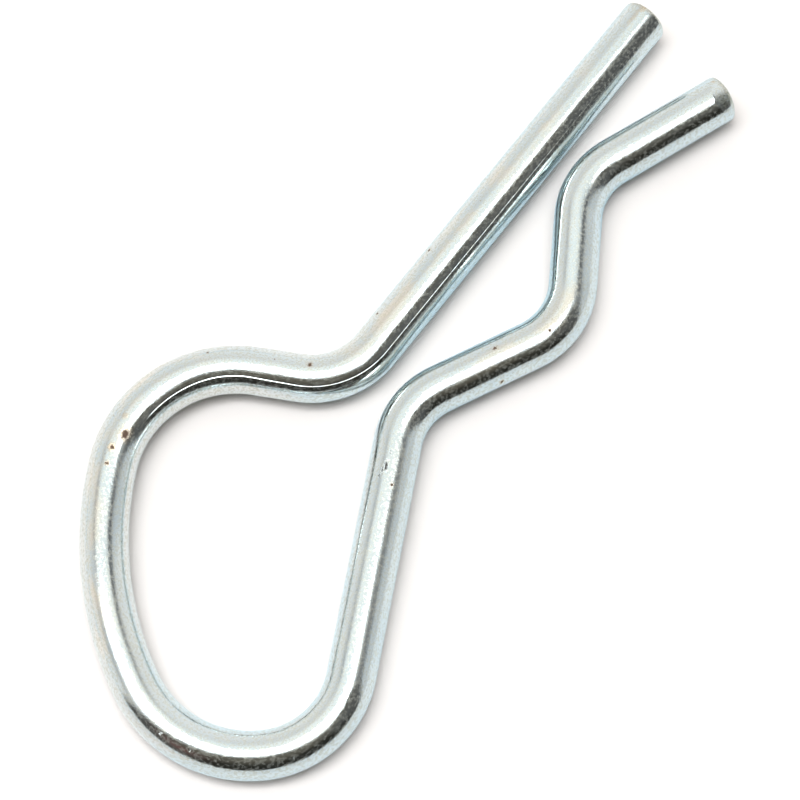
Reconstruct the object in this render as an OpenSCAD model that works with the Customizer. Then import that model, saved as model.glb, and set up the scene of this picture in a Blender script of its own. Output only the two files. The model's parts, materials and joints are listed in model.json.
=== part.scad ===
// Hitch pin clip, the R-shaped kind: one length of round spring wire bent flat in one plane.
// The straight leg goes through the cross hole of a shaft. The grip leg snaps round the outside of it.
// Frame: the clip lies flat with its underside on z = 0, over the middle of its own footprint.
// The straight leg runs along X, with both free ends at the +X end and the loop at the -X end.
// Seen from above, the grip leg lies on the -Y side of the straight leg.

/* [Wire] */
// Diameter of the round wire (mm)
wire_diameter = 4; // [2:0.1:5]
// Bend radius of the four tight bends, to the middle of the wire (mm)
bend_radius = 6.45; // [5.5:0.05:8]

/* [Straight leg] */
// Length from the free end to the first bend (mm)
straight_leg_length = 37.3; // [30:0.1:60]
// Angle of the bend that turns the straight leg out to the loop (deg)
leg_bend_angle = 61.5; // [55:0.1:65]
// Rounding of the cut edge at the free end (mm)
straight_end_round = 0.5; // [0.1:0.05:0.9]

/* [Spring loop] */
// Straight piece between the first bend and the loop (mm)
loop_lead_length = 3.65; // [2:0.05:6]
// Radius at the top of the loop, to the middle of the wire (mm)
crown_radius = 10; // [8:0.05:12]
// How far the top of the loop turns (deg)
crown_angle = 87.95; // [84:0.05:91]
// Radius along the slack back of the loop (mm)
back_radius = 29; // [24:0.1:34]
// How far the back of the loop turns (deg)
back_angle = 37.2; // [34:0.1:40]
// Radius at the far corner of the loop (mm)
corner_radius = 10.05; // [8:0.05:12]
// How far the corner turns (deg)
corner_angle = 71.6; // [69:0.1:75]
// Radius at the nose, where the loop turns back to the legs (mm)
nose_radius = 7.8; // [6.5:0.05:9]
// How far the nose turns (deg)
nose_angle = 71.8; // [69:0.1:75]
// Straight side from the nose to the neck (mm)
loop_side_length = 19.75; // [17:0.05:22]

/* [Grip leg] */
// Angle of the neck bend, where the wire comes out of the loop (deg)
neck_angle = 52.8; // [50:0.1:55]
// Straight run from the neck down to the grip bend (mm)
neck_run_length = 8.25; // [6:0.05:10]
// Angle of the grip bend, which sits against the shaft (deg)
grip_angle = 58.5; // [54:0.1:62]
// Straight run from the grip bend up to the flare (mm)
flare_run_length = 6.05; // [4:0.05:8]
// Angle of the bend that turns the free end away from the straight leg (deg)
flare_angle = 53.2; // [50:0.1:56]
// Length of the flared free end (mm)
flared_end_length = 11.15; // [6:0.05:16]
// Rounding of the cut edge at the flared end (mm)
flared_end_round = 0.75; // [0.1:0.05:0.9]

/* [Hidden] */
$fn = 48;
zinc = [0.74, 0.77, 0.8];
r = wire_diameter / 2;
over_sweep = 3;                // every bend is swept this much too far (deg), then trimmed square
block = 4 * wire_diameter;     // half of the trimming block, wider than the wire
start_heading = 180;           // the wire is bent from the straight leg's free end towards -X
quarter = 90;
full_turn = 360;
nowhere = -1000;               // stands for a bend that never faces the direction asked for

// The wire as steps, [length, radius, turn]: a straight has a length, a bend a radius and a turn.
// A positive turn is to the left, going from the straight leg's free end round to the flared end.
STEPS = [
  [straight_leg_length, 0, 0],
  [0, bend_radius, -leg_bend_angle],
  [loop_lead_length, 0, 0],
  [0, crown_radius, crown_angle],
  [0, back_radius, back_angle],
  [0, corner_radius, corner_angle],
  [0, nose_radius, nose_angle],
  [loop_side_length, 0, 0],
  [0, bend_radius, -neck_angle],
  [neck_run_length, 0, 0],
  [0, bend_radius, grip_angle],
  [flare_run_length, 0, 0],
  [0, bend_radius, -flare_angle],
  [flared_end_length, 0, 0]
];
last = len(STEPS) - 1;

// Poses [x, y, heading] before each step and after the last, from the straight leg's free end.
function ahead(h) = [cos(h), sin(h)];
function leftward(h) = [-sin(h), cos(h)];
function hub(p, s) = [p[0], p[1]] + sign(s[2]) * s[1] * leftward(p[2]);
function after(p, s) =
  s[2] == 0
  ? let(q = [p[0], p[1]] + s[0] * ahead(p[2])) [q[0], q[1], p[2]]
  : let(q = hub(p, s) - sign(s[2]) * s[1] * leftward(p[2] + s[2])) [q[0], q[1], p[2] + s[2]];
function pose(i) = i == 0 ? [0, 0, start_heading] : after(pose(i - 1), STEPS[i - 1]);
POSES = [for (i = [0 : last + 1]) pose(i)];

// How far the wire reaches in direction d (deg): over each bend that faces that way, over each
// joint, and over the two rounded ends.
function wrap(a) = a - full_turn * floor(a / full_turn);
function bend_reach(i, d) =
  let(s = STEPS[i], p = POSES[i], turned = wrap(sign(s[2]) * (d - p[2]) + quarter))
  s[2] != 0 && turned <= abs(s[2]) ? hub(p, s) * ahead(d) + s[1] + r : nowhere;
function joint_reach(i, d) =
  let(p = POSES[i]) [p[0], p[1]] * ahead(d) + r * abs(sin(d - p[2]));
function end_reach(p, out, rnd, d) =
  ([p[0], p[1]] - rnd * ahead(out)) * ahead(d) + (r - rnd) * abs(sin(d - out)) + rnd;
function reach(d) = max(concat(
  [for (i = [0 : last]) bend_reach(i, d)],
  [for (i = [1 : last]) joint_reach(i, d)],
  [end_reach(POSES[0], 0, straight_end_round, d),
   end_reach(POSES[last + 1], POSES[last + 1][2], flared_end_round, d)]
));
middle = [(reach(0) - reach(180)) / 2, (reach(90) - reach(270)) / 2];

// A straight piece along X. What follows it starts at its far end.
module straight(length) {
  rotate([0, 90, 0]) rotate([0, 0, -90]) cylinder(r = r, h = length);
  translate([length, 0, 0]) children();
}

// Moves to the frame at the end of a bend.
module past_bend(radius, turn)
  translate([0, sign(turn) * radius, 0]) rotate([0, 0, turn]) translate([0, -sign(turn) * radius, 0])
    children();

// A bend that starts along X. It is cut off in the frame of the piece that follows, so the two
// faces meet exactly.
module bend(radius, turn) {
  left = turn > 0;
  difference() {
    rotate([left ? 0 : 180, 0, 0]) translate([0, radius, 0]) rotate([0, 0, -90])
      rotate_extrude(angle = abs(turn) + over_sweep)
        translate([radius, 0]) rotate([0, 0, left ? 0 : 180]) circle(r = r);
    past_bend(radius, turn) translate([0, -block, -block]) cube([2 * block, 2 * block, 2 * block]);
  }
  past_bend(radius, turn) children();
}

// A free end along X: straight, then a rounded rim and a flat face.
module free_end(length, rim) {
  rotate([0, 90, 0]) rotate([0, 0, -90]) {
    cylinder(r = r, h = length - rim);
    cylinder(r = r - rim, h = length);
    translate([0, 0, length - rim]) rotate_extrude() translate([r - rim, 0]) circle(r = rim);
  }
}

// Step i of the wire, then every step after it.
module wire_from(i) {
  s = STEPS[i];
  if (i == last) free_end(s[0], flared_end_round);
  else if (s[2] == 0) straight(s[0]) wire_from(i + 1);
  else bend(s[1], s[2]) wire_from(i + 1);
}

// The whole bent wire, which is the whole part.
module spring_wire() color(zinc)
  translate([-middle[0], -middle[1], r]) {
    translate([-straight_leg_length, 0, 0]) free_end(straight_leg_length, straight_end_round);
    translate([-straight_leg_length, 0, 0]) rotate([0, 0, 180]) wire_from(1);
  }

spring_wire();
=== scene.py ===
# %% [markdown]
# # Hitch pin clip in bright zinc plate
# A hitch pin clip is one length of round spring wire. A straight leg goes through the cross hole
# of a shaft, and a wavy leg snaps round the outside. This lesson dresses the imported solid: it
# loads the frame, carries a fine wire surface along the same bends, gives it a plated finish,
# and sets a small tabletop studio round it.

# %% Load the frame
import json
import math

import bpy
import numpy as np
from mathutils import Matrix, Vector


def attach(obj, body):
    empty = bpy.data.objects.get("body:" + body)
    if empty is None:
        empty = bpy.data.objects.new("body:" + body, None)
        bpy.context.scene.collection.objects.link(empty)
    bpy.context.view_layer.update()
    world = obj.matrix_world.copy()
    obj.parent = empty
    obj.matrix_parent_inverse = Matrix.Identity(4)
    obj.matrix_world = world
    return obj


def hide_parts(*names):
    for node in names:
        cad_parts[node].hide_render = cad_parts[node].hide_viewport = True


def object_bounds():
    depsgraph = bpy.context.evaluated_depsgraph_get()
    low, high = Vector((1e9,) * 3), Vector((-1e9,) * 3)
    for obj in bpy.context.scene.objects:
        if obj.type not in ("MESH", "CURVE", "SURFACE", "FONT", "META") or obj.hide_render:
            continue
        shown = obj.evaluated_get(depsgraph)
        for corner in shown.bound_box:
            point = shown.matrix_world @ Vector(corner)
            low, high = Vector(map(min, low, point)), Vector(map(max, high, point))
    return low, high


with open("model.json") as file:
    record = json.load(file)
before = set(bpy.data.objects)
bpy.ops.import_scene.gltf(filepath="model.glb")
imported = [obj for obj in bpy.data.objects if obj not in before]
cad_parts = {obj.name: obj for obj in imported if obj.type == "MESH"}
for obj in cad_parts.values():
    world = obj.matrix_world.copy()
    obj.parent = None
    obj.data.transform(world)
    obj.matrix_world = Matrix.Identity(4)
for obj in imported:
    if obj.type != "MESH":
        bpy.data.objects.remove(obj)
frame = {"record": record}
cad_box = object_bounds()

print("CAD box", [[round(c, 5) for c in corner] for corner in cad_box])

# %% [markdown]
# ## The line of the wire
# On the real clip the wire is bent round pins in a forming machine, so its middle line is made of
# straights and arcs of circles that meet without a kink. It could be drawn as a Bezier curve,
# but arcs with exact radii are easier to state: a length, or a radius and a turn. The list runs
# from the free end of the straight leg round to the flared end, and a positive turn is a left
# turn. The starting point comes from the frame, so the surface lies where the solid does.

# %% The stretches
MM = 0.001
RADIUS = 2.0
STRETCHES = [
    ("straight leg", 37.3, 0, 0),
    ("leg bend", 0, 6.45, -61.5),
    ("loop lead", 3.65, 0, 0),
    ("crown", 0, 10.0, 87.95),
    ("back", 0, 29.0, 37.2),
    ("corner", 0, 10.05, 71.6),
    ("nose", 0, 7.8, 71.8),
    ("loop side", 19.75, 0, 0),
    ("neck bend", 0, 6.45, -52.8),
    ("neck run", 8.25, 0, 0),
    ("grip bend", 0, 6.45, 58.5),
    ("flare run", 6.05, 0, 0),
    ("flare bend", 0, 6.45, -53.2),
    ("flared end", 11.15, 0, 0),
]
leg = [m for m in frame["record"]["mounts"] if m["name"] == "straight_leg"][0]
START = np.array([cad_box[1][0], leg["pos_m"][1]]) / MM
START_HEADING = 180.0


def stretch_starts():
    """Distance along the wire, point and heading at which each stretch starts. A straight moves
    the point along the heading. An arc keeps its hub, radius x turn long, and turns the heading."""
    at, point, heading = 0.0, START, START_HEADING
    starts = []
    for _, length, radius, turn in STRETCHES:
        starts.append((at, point[0], point[1], heading))
        h = math.radians(heading)
        if radius:
            side = math.copysign(1, turn)
            hub = point + side * radius * np.array([-math.sin(h), math.cos(h)])
            heading += turn
            h = math.radians(heading)
            point = hub - side * radius * np.array([-math.sin(h), math.cos(h)])
            at += radius * math.radians(abs(turn))
        else:
            point = point + length * np.array([math.cos(h), math.sin(h)])
            at += length
    return np.array(starts), at


STARTS, WIRE_LENGTH = stretch_starts()
print("wire length", round(WIRE_LENGTH, 2), "mm in", len(STRETCHES), "stretches")


# %% A point and heading anywhere along it
def middle_line(s):
    """Point (x, y) and heading of the middle line at distance s, for a whole array of s. In a
    straight: start + s x heading. In an arc: hub +- radius x the heading turned by s / radius."""
    i = np.clip(np.searchsorted(STARTS[:, 0], s, side="right") - 1, 0, len(STRETCHES) - 1)
    radius = np.array([st[2] for st in STRETCHES], float)[i]
    side = np.sign([st[3] for st in STRETCHES])[i]
    at, x, y, h = np.moveaxis(STARTS[i], -1, 0)
    run = s - at
    h = np.radians(h)
    bent = radius > 0
    safe = np.where(bent, radius, 1.0)
    turned = h + np.where(bent, side * run / safe, 0.0)
    x_arc = x + side * safe * (np.sin(turned) - np.sin(h))
    y_arc = y - side * safe * (np.cos(turned) - np.cos(h))
    x_out = np.where(bent, x_arc, x + run * np.cos(h))
    y_out = np.where(bent, y_arc, y + run * np.sin(h))
    return x_out, y_out, turned


print("half way along", [round(float(v), 2) for v in middle_line(np.array(WIRE_LENGTH / 2))[:2]], "mm")

# %% [markdown]
# ## The surface of the wire
# The surface is a circle carried along the middle line: a function of the distance s along the
# wire and the angle round it. Both ends are closed: the circle shrinks over a rounded rim and
# then over the flat cropped face to a single point. The same two numbers also give each
# vertex its place on the wire before it was bent, which is stored with the mesh so that the
# drawing marks can follow the wire round every bend.

# %% Rows along the wire
# the radius of each rim, at the sides of the wire and on top of it
STRAIGHT_RIM, STRAIGHT_RIM_TOP = 0.5, 0.18
FLARED_RIM, FLARED_RIM_TOP = 0.75, 0.28
RIM_STEPS = 14
FACE_RINGS = 8
ROUND_STEPS = 112
BODY_STEP = 0.21
# the rows lie closer together over the part of the flared end that is rolled
ROLL_LENGTH, ROLL_STEP = 1.6, 0.05
phi = np.linspace(0, 2 * math.pi, ROUND_STEPS, endpoint=False)


def end_rows(rim, tight):
    """Setback from the tip and radius of the rows that close an end, from the middle of the face
    outwards: rings of the flat face, then a quarter circle of the rim's radius. The rim's radius
    shrinks from rim to tight on top of the wire, by the share sin(phi) to the power 1.5."""
    radius = rim - (rim - tight) * np.clip(np.sin(phi), 0, None) ** 1.5
    turn = np.linspace(0, math.pi / 2, RIM_STEPS + 1)[:, None]
    share = np.linspace(0, 1, FACE_RINGS + 1)[1:-1, None]
    back = np.concatenate([0 * share * radius, radius * (1 - np.cos(turn))])
    reach = np.concatenate([share * (RADIUS - radius), RADIUS - radius * (1 - np.sin(turn))])
    return back, reach


def body_rows(first, last, spacing):
    """Distances of full rows from first to last, the first left out because a rim ends there."""
    return np.arange(first, last, spacing)[1:, None] + 0 * phi


straight_back, straight_reach = end_rows(STRAIGHT_RIM, STRAIGHT_RIM_TOP)
flared_back, flared_reach = end_rows(FLARED_RIM, FLARED_RIM_TOP)
body = body_rows(STRAIGHT_RIM, WIRE_LENGTH - ROLL_LENGTH, BODY_STEP)
rolled = body_rows(FLARED_RIM, ROLL_LENGTH, ROLL_STEP)
S = np.concatenate([straight_back, body, WIRE_LENGTH - rolled[::-1], WIRE_LENGTH - flared_back[::-1]])
R = np.concatenate([straight_reach, 0 * body + RADIUS, 0 * rolled + RADIUS, flared_reach[::-1]])
PHI = S * 0 + phi
print("rows", len(S), "quads", (len(S) - 1) * ROUND_STEPS)


# %% The surface as a function of two numbers
def wire_surface(s, r, phi):
    """Middle line at s, plus r x (cos phi x left + sin phi x up). Left is the heading turned a
    quarter turn, and the line lies one wire radius above the table."""
    x, y, h = middle_line(s)
    sideways = r * np.cos(phi)
    return np.stack([x - sideways * np.sin(h), y + sideways * np.cos(h), RADIUS + r * np.sin(phi)], -1)


def grid_mesh(name, ring_points, first_pole, last_pole):
    """Mesh of a closed tube from an array of rings: a quad between every four neighbours, and a
    fan of triangles from each pole to its ring."""
    rings, around, _ = ring_points.shape
    verts = np.concatenate([ring_points.reshape(-1, 3), [first_pole, last_pole]])
    i, j = np.meshgrid(np.arange(rings - 1), np.arange(around), indexing="ij")
    k = (j + 1) % around
    quads = np.stack([i * around + j, i * around + k, (i + 1) * around + k, (i + 1) * around + j], -1)
    a = np.arange(around)
    b = (a + 1) % around
    base = (rings - 1) * around
    first = np.stack([np.full(around, rings * around), b, a], -1)
    last = np.stack([np.full(around, rings * around + 1), base + a, base + b], -1)
    corners = np.concatenate([quads.reshape(-1), first.reshape(-1), last.reshape(-1)])
    sizes = np.concatenate([np.full(quads.size // 4, 4), np.full(2 * around, 3)])
    face_starts = np.concatenate([[0], np.cumsum(sizes)[:-1]])
    mesh = bpy.data.meshes.new(name)
    mesh.vertices.add(len(verts))
    mesh.vertices.foreach_set("co", verts.astype(np.float32).ravel())
    mesh.loops.add(len(corners))
    mesh.loops.foreach_set("vertex_index", corners.astype(np.int32))
    mesh.polygons.add(len(sizes))
    mesh.polygons.foreach_set("loop_start", face_starts.astype(np.int32))
    mesh.polygons.foreach_set("use_smooth", np.ones(len(sizes), bool))
    mesh.update(calc_edges=True)
    mesh.validate()
    return mesh


print("the surface and the mesh maker are ready")

# %% [markdown]
# ## What manufacture and use did to the shape
# A cropping blade cuts the wire, so the straight end is a little out of square. The flared end is
# rolled, which left one flat facet on top. The drawn wire itself is never perfectly even. These are
# small changes to the same arrays: each vertex moves inwards by a formula of its place on the wire,
# a few hundredths of a millimetre or, on the facet, a few tenths. So the surface stays inside the
# solid it replaces.

# %% A sum of waves
def lumps(s, phi, seed, waves, shortest, longest):
    """A sum of sine waves over the unrolled surface, each with its own direction and phase. The
    waves that go round the wire close on themselves, because their count round it is whole."""
    pick = np.random.default_rng(seed)
    total = 0
    for _ in range(waves):
        length = pick.uniform(shortest, longest)
        count = pick.integers(0, 4)
        total = total + np.sin(2 * math.pi * (s / length + pick.random()) + count * phi)
    return total / waves


print("waves ready")

# %% The facet, the crooked cut and the unevenness
# the facet faces 112 degrees round the wire, starts 1.55 mm from the tip and slopes 14 degrees
FACET_AT, FACET_LENGTH, FACET_SLOPE = math.radians(112), 1.55, math.tan(math.radians(14))
from_tip = WIRE_LENGTH - S
starts = FACET_LENGTH * np.clip(np.cos(PHI - FACET_AT), 0, None)
drop = FACET_SLOPE * np.clip(starts - from_tip, 0, None) * np.clip(R / (RADIUS - FLARED_RIM_TOP), 0, 1)
R = R - drop
# the straight end is up to 0.1 mm out of square, and longest 150 degrees round the wire
CUT_TILT, CUT_REACH, CUT_LONGEST = 0.10, 1.5, math.radians(150)
shorter = (1 - R / RADIUS * np.cos(PHI - CUT_LONGEST)) / 2
S = S + CUT_TILT * np.clip(1 - S / CUT_REACH, 0, 1) * shorter
# drawing and bending leave the wire very slightly uneven, always on the inside of its true circle
INSET, WAVE_DEPTH = 0.003, 0.006
uneven = INSET + WAVE_DEPTH * (1 + lumps(S, PHI, 3, 12, 3.0, 14.0)) * np.clip(R / RADIUS, 0, 1)
R = R - uneven
print("deepest facet cut", round(float(drop.max()), 3), "mm")
print("unevenness up to", round(float(uneven.max()), 3), "mm")

# %% The mesh
points = wire_surface(S, R, PHI)
tips = wire_surface(np.array([CUT_TILT / 2, WIRE_LENGTH]), np.zeros(2), np.zeros(2))
wire_mesh = grid_mesh("clip_wire", points * MM, tips[0] * MM, tips[1] * MM)
clip_wire = bpy.data.objects.new("clip_wire", wire_mesh)
bpy.context.scene.collection.objects.link(clip_wire)
print("wire mesh", len(wire_mesh.vertices), "vertices")

# %% Where each vertex was before the wire was bent
before = np.stack([S, R * np.cos(PHI), R * np.sin(PHI)], -1).reshape(-1, 3)
before = np.concatenate([before, [[0, 0, 0], [WIRE_LENGTH, 0, 0]]])
attribute = wire_mesh.attributes.new("unbent", "FLOAT_VECTOR", "POINT")
attribute.data.foreach_set("vector", (before * MM).astype(np.float32).ravel())

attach(clip_wire, "root")
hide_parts("spring_wire")
print("unbent attribute on", len(before), "vertices")

# %% [markdown]
# ## A shorthand for node trees
# A finish is a small recipe of sums: distances, ramps and mixes. Writing every node and every link
# out in full would bury that recipe, so a few helpers add the nodes and return an output. A number
# goes straight onto the socket, and an output is linked to it.

# %% Helpers that add nodes
class Recipe:
    """Adds nodes to one node tree. Every method but put returns an output to link onwards."""

    def __init__(self, tree):
        self.nodes, self.links = tree.nodes, tree.links

    def put(self, socket, value):
        """Links an output to a socket, or writes a number, colour or vector onto it."""
        if isinstance(value, bpy.types.NodeSocket):
            self.links.new(value, socket)
        else:
            socket.default_value = value

    def add(self, kind, out, **inputs):
        """A node of any kind with its named inputs filled in."""
        node = self.nodes.new(kind)
        for name, value in inputs.items():
            self.put(node.inputs[name], value)
        return node.outputs[out]

    def calc(self, operation, *values):
        """A Math node on one number or two."""
        node = self.nodes.new("ShaderNodeMath")
        node.operation = operation
        for socket, value in zip(node.inputs, values):
            self.put(socket, value)
        return node.outputs[0]

    def chain(self, operation, result, *others):
        """One Math node after another, each on the result so far and the next number."""
        for other in others:
            result = self.calc(operation, result, other)
        return result

    def times(self, *values):
        """The product of its values."""
        return self.chain("MULTIPLY", *values)

    def plus(self, *values):
        """The sum of its values."""
        return self.chain("ADD", *values)

    def most(self, *values):
        """The largest of its values."""
        return self.chain("MAXIMUM", *values)

    def minus(self, first, second):
        """The first value less the second."""
        return self.calc("SUBTRACT", first, second)

    def vector(self, operation, *values, out="Vector"):
        """A Vector Math node on one vector or two."""
        node = self.nodes.new("ShaderNodeVectorMath")
        node.operation = operation
        for socket, value in zip(node.inputs, values):
            self.put(socket, value)
        return node.outputs[out]

    def stretched(self, vector, sizes):
        """A vector times a triple of sizes, which stretches a pattern."""
        return self.vector("MULTIPLY", vector, sizes)

    def grown(self, vector, factor):
        """A vector times one number, which may come from another node."""
        output = self.vector("SCALE", vector)
        self.put(output.node.inputs["Scale"], factor)
        return output

    def dot(self, first, second):
        """How far the first vector reaches along the second."""
        return self.vector("DOT_PRODUCT", first, second, out="Value")

    def parts(self, vector):
        """The three components of a vector."""
        return self.add("ShaderNodeSeparateXYZ", "X", Vector=vector).node.outputs

    def ramp(self, value, low, high, at_low=0.0, at_high=1.0):
        """A smooth step from at_low to at_high while the value goes from low to high."""
        node = self.nodes.new("ShaderNodeMapRange")
        node.interpolation_type = "SMOOTHSTEP"
        names = ("Value", "From Min", "From Max", "To Min", "To Max")
        for name, given in zip(names, (value, low, high, at_low, at_high)):
            self.put(node.inputs[name], given)
        return node.outputs["Result"]

    def fall(self, value, low, high, at_low=1.0):
        """A smooth step down from at_low to 0 while the value goes from low to high."""
        return self.ramp(value, low, high, at_low, 0.0)

    def bell(self, value, middle, width):
        """exp(-((value - middle) / width) squared): 1 at the middle, fading over the width."""
        off = self.calc("DIVIDE", self.minus(value, middle), width)
        return self.calc("EXPONENT", self.times(off, off, -1.0))

    def noise(self, vector, scale, detail, roughness):
        """A noise pattern from 0 to 1."""
        return self.add(
            "ShaderNodeTexNoise", "Fac", Vector=vector, Scale=scale, Detail=detail, Roughness=roughness
        )

    def cells(self, vector, scale, out):
        """Distance to the nearest of a scatter of points, or that point's own random colour."""
        return self.add("ShaderNodeTexVoronoi", out, Vector=vector, Scale=scale)

    def blend(self, share, first, second):
        """A colour that goes from first to second with the share."""
        node = self.nodes.new("ShaderNodeMix")
        node.data_type = "RGBA"
        self.put(node.inputs[0], share)
        self.put(node.inputs[6], first)
        self.put(node.inputs[7], second)
        return node.outputs[2]

    def bump(self, height, distance):
        """A surface normal bent by a height, in metres per unit of distance."""
        return self.add("ShaderNodeBump", "Normal", Height=height, Distance=distance, Strength=1.0)


def grey(level, warmth=0.0):
    """A near-neutral colour. A positive warmth takes a little out of the blue."""
    return (level * (1 + warmth), level, level * (1 - warmth), 1)


print("the recipe helpers are ready")

# %% [markdown]
# ## Bright zinc plate
# Zinc is plated on the finished clip and then dipped in a clear blue passivation, which gives
# the cool sheen. The metal is almost a mirror, so most of what shows on it is the room. The material
# is one metallic shader with a low roughness, and everything else is small: drawing streaks,
# plating grain, a dull film, stains and rust. All of it is placed by the unbent coordinates, so a
# distance is in real millimetres along the wire and an angle is the angle round it.

# %% The shader and its coordinates
zinc = bpy.data.materials.new("bright_zinc_plate")
zinc.use_nodes = True
recipe = Recipe(zinc.node_tree)
shader = zinc.node_tree.nodes["Principled BSDF"]
unbent = recipe.nodes.new("ShaderNodeAttribute")
unbent.attribute_name = "unbent"
wire_mm = recipe.grown(unbent.outputs["Vector"], 1 / MM)
along, left, up = recipe.parts(wire_mm)
round_angle = recipe.times(recipe.calc("ARCTAN2", up, left), math.degrees(1))
print("outputs: distance along the wire, left, up and the angle round it")

# %% [markdown]
# ## Patterns that follow the wire
# Drawing through a die leaves long fine streaks, and plating leaves a grain of tiny crystals. Both
# are noise, stretched along the wire for the streaks and nearly round for the grain. A scatter of
# cells gives the rare pits. Noise in object coordinates would run across the bends, so the
# unbent coordinates are used instead.

# %% Noise that follows the wire
# a first number under 1 stretches the pattern along the wire; then scale, detail and roughness
grain = recipe.noise(recipe.stretched(wire_mm, (0.7, 1.0, 1.0)), 3.6, 3.0, 0.6)
fine_grain = recipe.noise(wire_mm, 8.0, 2.0, 0.6)
streaks = recipe.noise(recipe.stretched(wire_mm, (0.05, 1.0, 1.0)), 3.2, 3.0, 0.6)
clouds = recipe.noise(recipe.stretched(wire_mm, (0.30, 1.0, 1.0)), 0.8, 3.0, 0.6)
ragged = recipe.noise(wire_mm, 6.0, 3.0, 0.65)
haze = recipe.noise(recipe.stretched(wire_mm, (0.8, 1.0, 1.0)), 4.6, 3.0, 0.6)
print("noise: grain, fine grain, streaks, clouds, ragged and haze")


# %% Dots and zones
ZONE_FADE = 2


def frayed(distance, amount):
    """A distance with noise added, so that a ramp on it has a ragged edge."""
    return recipe.plus(distance, recipe.times(recipe.minus(ragged, 0.5), amount))


def scatter(scale, rarity, size):
    """Small round dots: one to a cell, of random size, and none in most of the cells."""
    pick = recipe.add("ShaderNodeSeparateColor", "Red", Color=recipe.cells(wire_mm, scale, "Color"))
    radius = recipe.ramp(pick, rarity, 1.0, 0.0, size)
    reach = frayed(recipe.cells(wire_mm, scale, "Distance"), 0.25)
    return recipe.ramp(recipe.minus(radius, reach), -0.01, 0.05)


def on_wire(s_from, s_to, angle, width):
    """1 on a stretch of the wire near one angle round it, fading out at its ends and sides."""
    begins = recipe.ramp(along, s_from - ZONE_FADE, s_from + ZONE_FADE)
    ends = recipe.fall(along, s_to - ZONE_FADE, s_to + ZONE_FADE)
    return recipe.times(begins, ends, recipe.bell(round_angle, angle, width))


pits = recipe.times(scatter(0.9, 0.82, 0.10), 0.7)
stained = recipe.most(on_wire(52, 80, 118, 24), on_wire(8, 40, 112, 20), on_wire(132, 144, 95, 25))
stain_dots = recipe.times(scatter(2.6, 0.72, 0.20), stained)
cream = recipe.times(recipe.ramp(clouds, 0.38, 0.66), stained)
film = recipe.ramp(haze, 0.48, 0.57)
print("masks: pits, stained zones, stain dots, cream and film")

# %% [markdown]
# ## Rust, tan stains, glints and dents
# Where the plating is broken the steel rusts: a dark speck with a tan halo. Each one sits at its
# own place, so they are short tables: distance along the wire, angle round it, size, how much
# longer than wide, and how strong the halo is. A ragged edge comes from adding noise to the
# distance before the ramp, and that makes a cheap and natural outline.

# %% The places
RUST_SPOTS = [
    ("loop, large", 60.97, 77, 0.36, 1.5, 0.6),
    ("loop, middle", 62.37, 94, 0.24, 1.0, 0.7),
    ("loop, small", 63.77, 96, 0.15, 1.0, 0.7),
    ("leg bend", 43.35, 107, 0.22, 1.0, 0.3),
    ("neck, pale", 119.99, 100, 0.13, 1.0, 0.4),
    ("neck run", 135.33, 74, 0.16, 1.6, 0.2),
    ("neck run, left", 134.73, 162, 0.15, 1.0, 0.6),
    ("leg, low", 35.10, 137, 0.14, 1.0, 0.2),
    ("leg, high", 28.14, 138, 0.13, 1.0, 0.2),
    ("crown", 51.47, 125, 0.08, 1.0, 0.2),
    ("crown, right", 46.27, 109, 0.07, 1.0, 0.2),
    ("grip bend", 139.94, 99, 0.12, 1.0, 0.5),
]
TAN_SPOTS = [
    ("flared tip, left", 167.45, 54, 0.13, 1.0, 0.5),
    ("flared tip, right", 167.85, 144, 0.12, 1.0, 0.7),
    ("straight tip, top", 0.35, 98, 0.16, 1.4, 0.45),
    ("straight tip, run", 1.30, 104, 0.11, 6.0, 0.35),
    ("loop, speck above", 59.60, 100, 0.16, 1.0, 0.5),
]
NICKS = [
    ("neck, long", 121.45, 78, 0.16, 3.2),
    ("neck, beside it", 121.10, 70, 0.10, 2.6),
    ("neck, tick", 120.65, 66, 0.10, 2.2),
    ("neck, above", 122.60, 82, 0.08, 1.6),
]
# painted highlights: white spots laid into the colour on the flared tip, where light glints
PAINTED_GLINTS = [
    ("flared tip", 167.60, 82, 0.20, 1.0),
    ("flared tip, beside it", 167.66, 93, 0.17, 1.0),
]
DENTS = [
    ("nose, bright", 86.46, 120, 0.11, 1.0),
    ("nose, tick", 88.96, 117, 0.13, 0.4),
    ("nose, line", 96.5, 126, 0.14, 0.4),
]
print(len(RUST_SPOTS), "rust spots,", len(TAN_SPOTS), "tan spots and", len(NICKS), "nicks")
print(len(PAINTED_GLINTS), "glints and", len(DENTS), "dents")


# %% The masks
SPOT_FRAY = 0.45


def marks(places, near, far):
    """One mask for a table of places. A mark has its full strength within near x its size, and
    is gone beyond far x its size. Distances along the wire count less when it is longer that way.
    The strength is the row's sixth number, or 1 where there is none."""
    mask = 0.0
    for _, s_mm, angle, size, longer, *strength in places:
        a = math.radians(angle)
        middle = (s_mm, RADIUS * math.cos(a), RADIUS * math.sin(a))
        offset = recipe.stretched(recipe.vector("SUBTRACT", wire_mm, middle), (1 / longer, 1.0, 1.0))
        apart = frayed(recipe.vector("LENGTH", offset, out="Value"), SPOT_FRAY)
        mask = recipe.most(mask, recipe.fall(apart, size * near, size * far, *strength))
    return mask


rust = marks([spot[:5] for spot in RUST_SPOTS], 0.45, 1.1)
halo = marks(RUST_SPOTS + TAN_SPOTS, 0.8, 2.2)
nicks = marks(NICKS, 0.3, 1.2)
dents = marks(DENTS, 0.0, 1.6)
# the mask of the painted highlights on the flared tip
painted_glints = marks(PAINTED_GLINTS, 0.5, 1.0)
print("masks: rust, halo, nicks, dents and glints")
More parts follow.
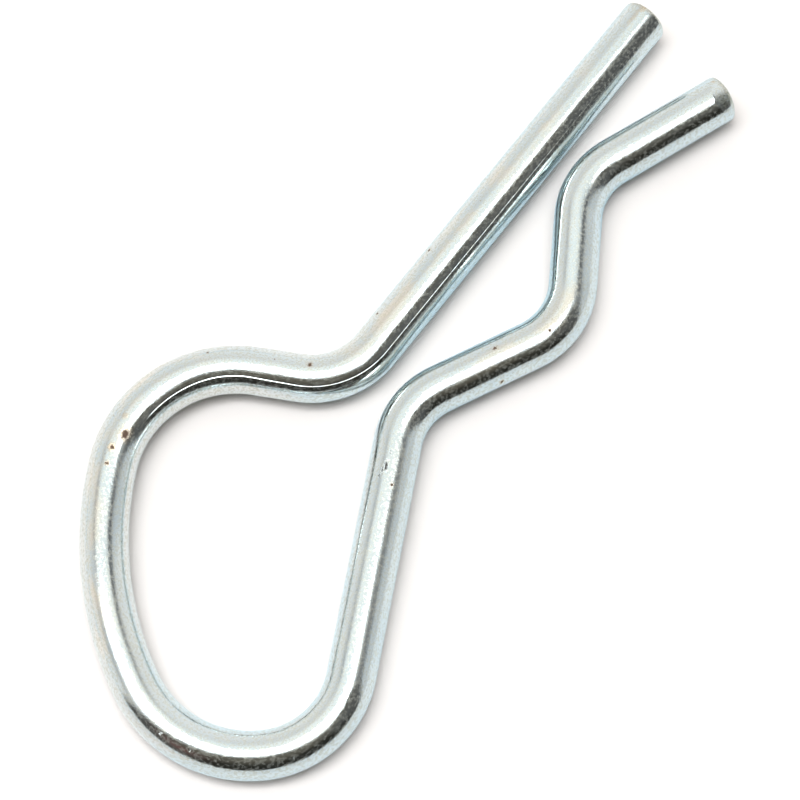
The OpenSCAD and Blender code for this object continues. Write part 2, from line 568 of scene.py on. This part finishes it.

# %% The bare rims and the painted dark on the facet
# the rim's plating is gone within about half a millimetre of each tip, in a ragged patch
bare_rim = recipe.most(
    recipe.fall(along, 0.10, 0.55), recipe.ramp(along, WIRE_LENGTH - 0.6, WIRE_LENGTH - 0.12)
)
bare_rim = recipe.times(bare_rim, recipe.ramp(ragged, 0.30, 0.55, 0.35, 1.0))
# painted dark reflection: the facet's lower half is darkened where the shape's own formula cuts into the
# wire, between two angles round it
facing = recipe.dot(wire_mm, (0.0, math.cos(FACET_AT) / RADIUS, math.sin(FACET_AT) / RADIUS))
into_facet = recipe.plus(recipe.minus(along, WIRE_LENGTH), recipe.times(facing, FACET_LENGTH))
facet_painted_dark = recipe.times(
    recipe.ramp(into_facet, -0.02, 0.10),
    recipe.ramp(round_angle, 92, 106),
    recipe.fall(round_angle, 128, 142),
    recipe.ramp(fine_grain, 0.38, 0.60, 1.0, 0.35),
)
print("masks: bare rims and facet")

# %% [markdown]
# ## Colour, sheen and relief
# The passivation drifts between a cooler and a greener blue, so the base is two near colours mixed
# by the clouds. Each later layer is laid over it by its own mask. The film is a thin dull haze in
# patches: it is a little browner, rougher and less metallic. The cropped rims are bare of plating
# and brownish. The relief goes into one bump node, because heights add up simply, and it also
# holds the fine step that the wire die left along the inner side of the clip.
# Two layers are painted light, not the metal's colour: a painted dark reflection on the facet and painted
# glints on the flared tip.

# %% Colour
# name, mask and colour of each layer, painted one over the other
LAYERS = [
    ("streaks", recipe.ramp(streaks, 0.42, 0.72, 0.0, 0.30), (0.66, 0.70, 0.71, 1)),
    ("plating grain", recipe.ramp(fine_grain, 0.50, 0.78, 0.0, 0.45), (0.56, 0.59, 0.58, 1)),
    ("cream stain", recipe.times(cream, 0.9), (0.86, 0.80, 0.70, 1)),
    ("brown stain dots", recipe.times(stain_dots, 0.7), (0.42, 0.34, 0.22, 1)),
    ("dull film", recipe.times(film, 0.35), (0.62, 0.61, 0.46, 1)),
    ("bare rims", recipe.times(bare_rim, 0.75), (0.50, 0.46, 0.36, 1)),
    # painted dark reflection on the lower half of the facet
    ("facet_painted_dark", facet_painted_dark, (0.34, 0.36, 0.30, 1)),
    ("pits", pits, (0.20, 0.18, 0.15, 1)),
    ("tan halo", halo, (0.62, 0.48, 0.30, 1)),
    ("nicks", nicks, (0.07, 0.068, 0.062, 1)),
    # painted highlights, white
    ("painted_glints", painted_glints, (0.95, 0.96, 0.94, 1)),
    ("rust", rust, (0.11, 0.062, 0.035, 1)),
]
COOL_BLUE, GREEN_BLUE = (0.700, 0.795, 0.830, 1), (0.755, 0.825, 0.830, 1)
colour = recipe.blend(recipe.ramp(clouds, 0.35, 0.68), COOL_BLUE, GREEN_BLUE)
for _, share, tint in LAYERS:
    colour = recipe.blend(share, colour, tint)
recipe.put(shader.inputs["Base Color"], colour)
print("layers over the blue:", ", ".join(name for name, _, _ in LAYERS))

# %% Roughness and metal
ROUGHNESS, FILM_ROUGHNESS = 0.06, 0.12
FILM_SHARE, RUST_SHARE, MARK_SHARE = 0.13, 0.8, 0.95
dull = recipe.most(
    recipe.times(rust, 0.5), recipe.times(halo, 0.25), recipe.times(bare_rim, 0.2), recipe.times(nicks, 0.6)
)
roughness = recipe.plus(ROUGHNESS, recipe.times(film, FILM_ROUGHNESS), dull)
recipe.put(shader.inputs["Roughness"], roughness)
not_metal = recipe.plus(recipe.times(film, FILM_SHARE), recipe.times(rust, RUST_SHARE))
# the painted highlights and the nicks take most of the metal out
not_metal = recipe.most(not_metal, recipe.times(recipe.most(painted_glints, nicks), MARK_SHARE))
recipe.put(shader.inputs["Metallic"], recipe.minus(1.0, not_metal))
shader.inputs["Specular Tint"].default_value = (0.90, 0.96, 1.0, 1)
print("roughness from", ROUGHNESS, "and metallic down to", 1 - FILM_SHARE, "in the film")

# %% Relief
# the die's step lies 52.5 degrees round the wire and wanders 4.5 degrees higher on the crown
LINE_ANGLE, LINE_WANDER, LINE_HALF_WIDTH = 52.5, 4.5, 1.3
MICRON = 0.000001
line_angle = recipe.plus(LINE_ANGLE, recipe.times(recipe.bell(along, 50, 4.5), LINE_WANDER))
line_depth = recipe.times(recipe.ramp(along, 4, 22, 0.70, 1.0), recipe.fall(along, 57, 62))
past_line = recipe.ramp(recipe.minus(round_angle, line_angle), -LINE_HALF_WIDTH, LINE_HALF_WIDTH)
# name, pattern and height in microns, which is below the surface where it is negative
HEIGHTS = [
    ("grain", grain, 7.0),
    ("streaks", streaks, 5.0),
    ("fine grain", fine_grain, 4.0),
    ("step of the die", recipe.times(past_line, line_depth), -27.0),
    ("pits, rust and nicks", recipe.most(pits, rust, nicks), -14.0),
    ("dents", dents, -22.0),
]
relief = recipe.plus(*[recipe.times(pattern, microns) for _, pattern, microns in HEIGHTS])
recipe.put(shader.inputs["Normal"], recipe.bump(relief, MICRON))
wire_mesh.materials.append(zinc)
print("relief in microns:", ", ".join(f"{name} {microns:g}" for name, _, microns in HEIGHTS))

# %% [markdown]
# ## The table
# The clip lies on a plain white board. One large flat face is enough. The board has a faint paper
# grain, which shows only in the shadow. The metal mirrors the board, and what reflections see is
# painted light set by the light path: a darker board, a little blue beside the legs, a painted blue
# shade between them, and warmer beside the loop and beyond the straight leg.

# %% The board
TABLE_HALF = 1.5
table_corners = [(x * TABLE_HALF, y * TABLE_HALF, 0) for x, y in ((-1, -1), (1, -1), (1, 1), (-1, 1))]
table_mesh = bpy.data.meshes.new("table_top")
table_mesh.from_pydata(table_corners, [], [(0, 1, 2, 3)])
table_top = bpy.data.objects.new("table_top", table_mesh)
bpy.context.scene.collection.objects.link(table_top)
print("table", 2 * TABLE_HALF, "m wide")

# %% Its paper and the painted light and shade that reflections see
BOARD_DARK, BOARD_LIGHT = (0.858, 0.833, 0.823, 1), (0.872, 0.847, 0.837, 1)
# painted light for reflections only: a cool tint, a warm tint, and a darker blue painted shade between the
# legs
COOL_PAINTED_LIGHT, WARM_PAINTED_LIGHT, BLUE_PAINTED_SHADE = (0.80, 0.83, 0.85, 1), (0.90, 0.84, 0.81, 1), (0.62, 0.73, 0.79, 1)
OUTWARD = (-0.25, 0.97, 0.0)
white = bpy.data.materials.new("white_table")
white.use_nodes = True
recipe = Recipe(white.node_tree)
paper = white.node_tree.nodes["Principled BSDF"]
light_path = recipe.nodes.new("ShaderNodeLightPath")
place = recipe.nodes.new("ShaderNodeTexCoord").outputs["Object"]
fibres = recipe.noise(place, 900.0, 3.0, 0.6)
board = recipe.blend(fibres, BOARD_DARK, BOARD_LIGHT)
# the painted light turns from cool to warm outwards, beside the loop and beyond the straight leg
painted_light_and_shade = recipe.blend(recipe.ramp(recipe.dot(place, OUTWARD), 0.003, 0.009), COOL_PAINTED_LIGHT, WARM_PAINTED_LIGHT)
table_x, table_y, _ = recipe.parts(place)
# painted shade between the two legs
painted_shade_between_legs = recipe.times(
    recipe.ramp(table_y, -0.009, -0.006),
    recipe.fall(table_y, 0.0005, 0.002),
    recipe.ramp(table_x, -0.006, 0.002),
    recipe.fall(table_x, 0.022, 0.034),
)
painted_light_and_shade = recipe.blend(painted_shade_between_legs, painted_light_and_shade, BLUE_PAINTED_SHADE)
# reflections see the painted light and shade, the camera sees the paper
recipe.put(paper.inputs["Base Color"], recipe.blend(light_path.outputs["Is Glossy Ray"], board, painted_light_and_shade))
recipe.put(paper.inputs["Roughness"], recipe.plus(0.33, recipe.times(fibres, 0.04)))
recipe.put(paper.inputs["Normal"], recipe.bump(fibres, 4 * MICRON))
paper.inputs["Specular IOR Level"].default_value = 0.5
# a trace of glow, seen by the camera only, lifts the open board to full white
paper.inputs["Emission Color"].default_value = (1, 1, 1, 1)
recipe.put(paper.inputs["Emission Strength"], recipe.times(light_path.outputs["Is Camera Ray"], 0.005))
table_mesh.materials.append(white)
print("paper with", len(recipe.nodes), "nodes")

# %% [markdown]
# ## The studio
# Small shiny things are photographed in a light tent: a big soft box overhead, pale walls, and a
# darker opening on the photographer's side. The bands on the metal are pictures of exactly those.
# Area lamps and cards could be built, but a world made of soft-edged patches is easier to place.
# The patches are laid out on a map of directions: the middle is straight up, and the distance
# from the middle is the angle from straight up. X runs to the picture's right and Y away.

# %% The map of directions
PICTURE_RIGHT = Vector((0.6380, -0.7700, 0.0))
PICTURE_FAR = Vector((0.7700, 0.6380, 0.0))

world = bpy.data.worlds.new("studio")
bpy.context.scene.world = world
world.use_nodes = True
recipe = Recipe(world.node_tree)
ramp, fall, bell, blend = recipe.ramp, recipe.fall, recipe.bell, recipe.blend
direction = recipe.nodes.new("ShaderNodeTexCoord").outputs["Generated"]
to_right = recipe.dot(direction, PICTURE_RIGHT)
to_far = recipe.dot(direction, PICTURE_FAR)
from_top = recipe.times(recipe.calc("ARCCOSINE", recipe.dot(direction, (0, 0, 1))), math.degrees(1))
# the level part of the direction, with a trace added so that straight up divides safely
level = recipe.calc(
    "SQRT", recipe.plus(recipe.times(to_right, to_right), recipe.times(to_far, to_far), 1e-8)
)
X = recipe.times(from_top, recipe.calc("DIVIDE", to_right, level))
Y = recipe.times(from_top, recipe.calc("DIVIDE", to_far, level))


def oval(middle, half):
    """0 in the middle of an oval in the map of directions and 1 on its edge: the root of the sum
    of the two squared offsets, each in parts of the oval's half width or half height."""
    squares = []
    for axis, at, reach in zip((X, Y), middle, half):
        offset = recipe.calc("DIVIDE", recipe.minus(axis, at), reach)
        squares.append(recipe.times(offset, offset))
    return recipe.calc("SQRT", recipe.plus(*squares))


def patch(middle, half, strength):
    """A soft patch in the map of directions: its middle, its half sizes and its strength."""
    return recipe.times(bell(X, middle[0], half[0]), bell(Y, middle[1], half[1]), strength)


print("map of directions in degrees from straight up")

# %% The pale walls and the ceiling
WALL = (0.91, 0.885, 0.855)
RIGHT_WALL = (0.66, 0.67, 0.67, 1)
CEILING = (1.15, 1.15, 1.10, 1)
# the walls are brighter towards the table, and brightest on the far side
studio = recipe.grown(WALL, ramp(from_top, 50, 85, 0.90, 1.06))
studio = blend(patch((22, 55), (26, 30), 0.5), studio, grey(1.1, 0.02))
studio = blend(recipe.times(ramp(X, 40, 52), fall(Y, 16, 26)), studio, RIGHT_WALL)
# the ceiling glows round the soft box
studio = blend(fall(oval((-3, 11), (36, 27)), 0.6, 1.2, 0.9), studio, CEILING)
# two small gaps on the left, and a long slanted one on the right
studio = blend(patch((-41, 20), (7, 10), 0.6), studio, grey(0.3))
studio = blend(patch((-56, -2), (8, 13), 0.55), studio, grey(0.35))
gap_length = recipe.times(ramp(Y, -6, 5), ramp(Y, 5, 14, 0.72, 1.0), fall(Y, 18, 38))
gap = recipe.times(bell(recipe.plus(X, Y), 48, 13), gap_length)
studio = blend(gap, studio, grey(0.15, 0.02))
print("walls, ceiling and three gaps")

# %% The dark side of the room
UPPER_DARK, LOWER_DARK = (0.155, 0.135, 0.105, 1), (0.026, 0.024, 0.019, 1)
RED_GLOW = (0.32, 0.14, 0.12, 1)
dark = blend(ramp(from_top, 26, 66), UPPER_DARK, LOWER_DARK)
dark = blend(patch((-41, -42), (13, 12), 0.5), dark, RED_GLOW)
# some light spills in from the left and from the right
dark = blend(fall(X, -60, -25, 0.6), dark, grey(0.14, 0.08))
dark = blend(recipe.times(ramp(X, 20, 45, 0.0, 0.6), ramp(Y, -40, -20)), dark, grey(0.15, 0.02))
# the opening takes the near side and part of the right. It ends at 47 degrees to the right, and
# nearer the photographer at a slanted edge further out
near_side = fall(Y, -26, -11)
right_side = recipe.times(ramp(X, 16, 28), fall(Y, -2, 10))
slanted = recipe.plus(recipe.times(recipe.minus(X, 56.0), 0.64), recipe.times(Y, 0.77))
past_end = recipe.calc("MINIMUM", recipe.minus(X, 47.0), slanted)
opening = recipe.times(recipe.most(near_side, right_side), fall(past_end, -6, 5))
studio = blend(opening, studio, dark)
print("dark opening on the near side and on the right")

# %% The soft box and the horizon
BOX_MIDDLE, BOX_HALF, BOX_EDGE = (-11.0, -2.5), (31, 9.5), (7, 6)
HOT_MIDDLE, HOT_HALF, HOT_CORE = (-8, 3), (22, 11), 10.0
HORIZON, HORIZON_TONE = 83.5, (0.86, 0.87, 0.86, 1)
in_box = []
for axis, at, half, edge in zip((X, Y), BOX_MIDDLE, BOX_HALF, BOX_EDGE):
    in_box.append(fall(recipe.calc("ABSOLUTE", recipe.minus(axis, at)), half, half + edge))
box_glow = recipe.plus(ramp(X, -48, -22, 1.2, 2.0), patch(HOT_MIDDLE, HOT_HALF, HOT_CORE))
studio = blend(recipe.times(*in_box), studio, recipe.grown((1.0, 1.0, 1.0), box_glow))
studio = blend(ramp(recipe.minus(from_top, HORIZON), -3, 4), studio, HORIZON_TONE)
print("soft box", 2 * BOX_HALF[0], "by", 2 * BOX_HALF[1], "degrees")

# %% White behind everything
light_path = recipe.nodes.new("ShaderNodeLightPath")
studio = blend(light_path.outputs["Is Camera Ray"], studio, grey(1.0))
background = world.node_tree.nodes["Background"]
recipe.put(background.inputs["Color"], studio)
background.inputs["Strength"].default_value = 1.0
print("world with", len(recipe.nodes), "nodes")

# %% [markdown]
# ## The camera
# A product shot from about 27 cm away, looking down on the table at a steep angle, a little from
# the near side, with the clip lying diagonally. The camera is placed by two points and a small
# roll, because aiming at a point is easier to read than three angles.

# %% Aim and lens
LOOK_AT = Vector((-2.449, -2.090, 2.0)) * MM
CAMERA_AT = Vector((-68.34, -56.70, 265.39)) * MM
ROLL = 0.0343
camera_data = bpy.data.cameras.new("camera")
camera_data.sensor_width = 36.0
camera_data.lens = 153.28
camera_data.clip_start = 0.01
camera_data.clip_end = 10.0
camera = bpy.data.objects.new("camera", camera_data)
bpy.context.scene.collection.objects.link(camera)
forward = (LOOK_AT - CAMERA_AT).normalized()
right = forward.cross(PICTURE_FAR).normalized()
upward = right.cross(forward)
turned_right = right * math.cos(ROLL) - upward * math.sin(ROLL)
turned_up = right * math.sin(ROLL) + upward * math.cos(ROLL)
facing_clip = Matrix((turned_right, turned_up, -forward)).transposed().to_4x4()
camera.matrix_world = Matrix.Translation(CAMERA_AT) @ facing_clip
bpy.context.scene.camera = camera
bpy.context.scene.view_settings.view_transform = "Standard"
print("camera", round((CAMERA_AT - LOOK_AT).length, 3), "m from the clip")
